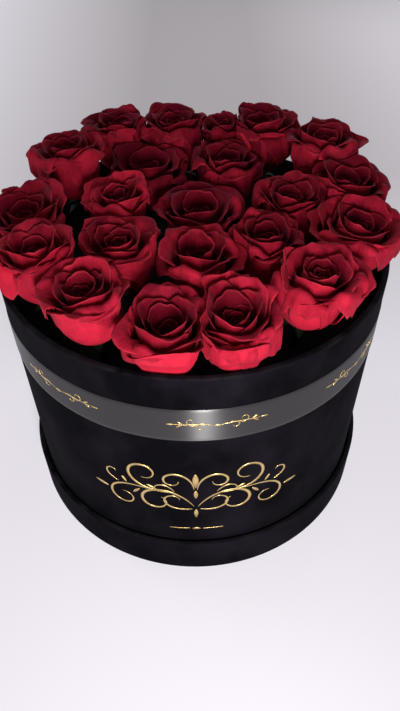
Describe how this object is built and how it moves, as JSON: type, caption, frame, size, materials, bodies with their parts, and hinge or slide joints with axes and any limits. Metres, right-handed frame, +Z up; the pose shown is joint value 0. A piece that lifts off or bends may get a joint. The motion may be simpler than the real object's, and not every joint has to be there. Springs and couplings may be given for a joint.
{
  "type": "round flower box",
  "caption": "Round flocked box filled with a bed of cut red roses, with a satin ribbon round it and its own lid under it as a base.",
  "frame": {"origin": "centre of the lid's underside, where the box stands", "axes": "+Z up along the drum's axis, -Y towards the printed front, ribbon lap at +Y"},
  "size_m": [0.239, 0.239, 0.2244],
  "materials": {
    "flocked_covering": "matte",
    "grey_board": "matte",
    "paper_lining": "matte",
    "floral_foam": "matte",
    "satin_ribbon": "satin",
    "rose_petal": "satin",
    "stem_and_sepal": "matte",
    "gold_print": "satin"
  },
  "bodies": {
    "lid": {"lid_end_cover": "flocked_covering", "lid_board_disc": "grey_board", "lid_board_band": "grey_board", "lid_band_cover": "flocked_covering", "lid_lining": "paper_lining"},
    "box": {"drum_base_cover": "flocked_covering", "drum_base_board": "grey_board", "drum_board_tube": "grey_board", "drum_cover": "flocked_covering", "drum_lining": "paper_lining", "foam_lower": "floral_foam", "foam_upper": "floral_foam", "ribbon": "satin_ribbon", "rose_01": "rose_petal", "rose_02": "rose_petal", "rose_03": "rose_petal", "rose_04": "rose_petal", "rose_05": "rose_petal", "rose_06": "rose_petal", "rose_07": "rose_petal", "rose_08": "rose_petal", "rose_09": "rose_petal", "rose_10": "rose_petal", "rose_11": "rose_petal", "rose_12": "rose_petal", "rose_13": "rose_petal", "rose_14": "rose_petal", "rose_15": "rose_petal", "rose_16": "rose_petal", "rose_17": "rose_petal", "rose_18": "rose_petal", "rose_19": "rose_petal", "rose_20": "rose_petal", "rose_21": "rose_petal", "rose_22": "rose_petal", "stem_01": "stem_and_sepal", "stem_02": "stem_and_sepal", "stem_03": "stem_and_sepal", "stem_04": "stem_and_sepal", "stem_05": "stem_and_sepal", "stem_06": "stem_and_sepal", "stem_07": "stem_and_sepal", "stem_08": "stem_and_sepal", "stem_09": "stem_and_sepal", "stem_10": "stem_and_sepal", "stem_11": "stem_and_sepal", "stem_12": "stem_and_sepal", "stem_13": "stem_and_sepal", "stem_14": "stem_and_sepal", "stem_15": "stem_and_sepal", "stem_16": "stem_and_sepal", "stem_17": "stem_and_sepal", "stem_18": "stem_and_sepal", "stem_19": "stem_and_sepal", "stem_20": "stem_and_sepal", "stem_21": "stem_and_sepal", "stem_22": "stem_and_sepal"}
  },
  "joints": [
    {"name": "box_lift", "type": "slide", "parent": "lid", "child": "box", "axis": [0, 0, 1], "range_m": [0, 0.06]}
  ]
}
